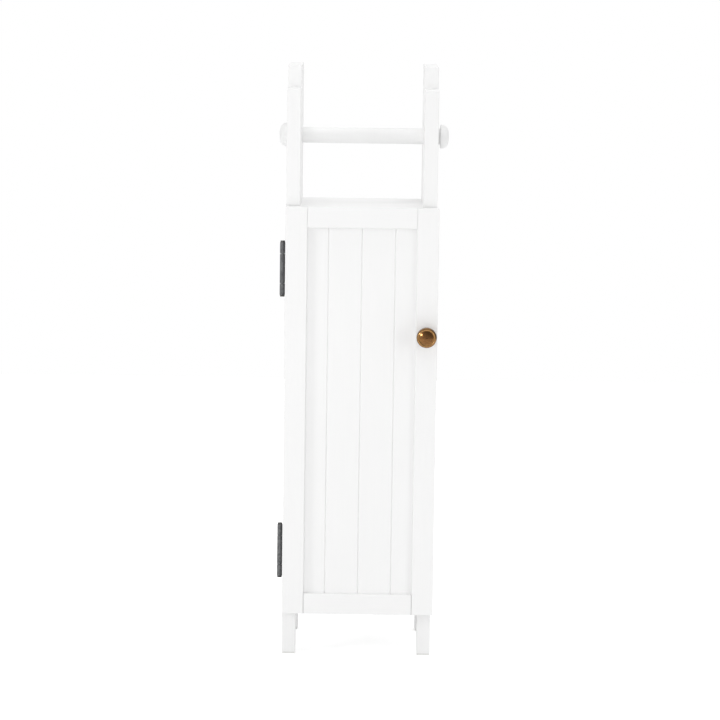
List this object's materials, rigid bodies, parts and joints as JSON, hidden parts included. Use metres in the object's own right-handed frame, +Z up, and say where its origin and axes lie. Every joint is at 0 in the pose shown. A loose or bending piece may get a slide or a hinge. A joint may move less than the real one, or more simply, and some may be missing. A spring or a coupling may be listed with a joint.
{
  "type": "bathroom roll cabinet",
  "caption": "Slim free-standing white cabinet with a framed, grooved door, feet, and raised ears that hold a turned bar for the paper roll in use.",
  "frame": {"origin": "on the floor, below the middle of the outline box", "axes": "+Z up, the door faces -Y, +X to the right as seen from the front"},
  "size_m": [0.225, 0.2044, 0.78],
  "materials": {
    "white_paint": "satin white paint",
    "white_hardboard": "matt white face",
    "hinge_steel": "dark gunmetal plating",
    "antique_brass": "polished antique brass",
    "zinc_steel": "bright zinc plating",
    "beech": "bare beech",
    "catch_plastic": "moulded",
    "glide_plastic": "moulded white",
    "ferrite": "matt sintered ferrite"
  },
  "bodies": {
    "carcass": {"left_side_panel": "white_paint", "right_side_panel": "white_paint", "top_panel": "white_paint", "bottom_panel": "white_paint", "back_panel": "white_hardboard", "cam_bolts": "zinc_steel", "cam_discs": "zinc_steel", "wood_dowels": "beech", "foot_glides": "glide_plastic", "shelf_pins": "zinc_steel", "upper_hinge_frame_leaf": "hinge_steel", "lower_hinge_frame_leaf": "hinge_steel", "upper_hinge_pin": "hinge_steel", "lower_hinge_pin": "hinge_steel", "hinge_frame_screws": "hinge_steel", "catch_housing": "catch_plastic", "catch_jaws": "zinc_steel", "catch_magnet": "ferrite", "catch_screws": "zinc_steel"},
    "door": {"door_hinge_stile": "white_paint", "door_lock_stile": "white_paint", "door_top_rail": "white_paint", "door_bottom_rail": "white_paint", "door_panel": "white_paint", "upper_hinge_door_leaf": "hinge_steel", "lower_hinge_door_leaf": "hinge_steel", "hinge_door_screws": "hinge_steel", "knob": "antique_brass", "knob_screw": "zinc_steel", "strike_plate": "zinc_steel", "strike_screws": "zinc_steel"},
    "shelf": {"inner_shelf": "white_paint"},
    "bar": {"roll_bar": "white_paint", "fixed_bar_cap": "white_paint"},
    "bar_cap": {"removable_bar_cap": "white_paint"}
  },
  "joints": [
    {"name": "door_swing", "type": "hinge", "parent": "carcass", "child": "door", "pos_m": [-0.10455, -0.061, 0.3285], "axis": [0, 0, -1], "range_deg": [0, 180]},
    {"name": "bar_spin", "type": "hinge", "parent": "carcass", "child": "bar", "pos_m": [-0.002, 0.0212, 0.6865], "axis": [1, 0, 0], "continuous": true},
    {"name": "cap_pull", "type": "slide", "parent": "bar", "child": "bar_cap", "axis": [1, 0, 0], "range_m": [0, 0.03]},
    {"name": "shelf_lift", "type": "slide", "parent": "carcass", "child": "shelf", "axis": [0, 0, 1], "range_m": [0, 0.05]}
  ]
}
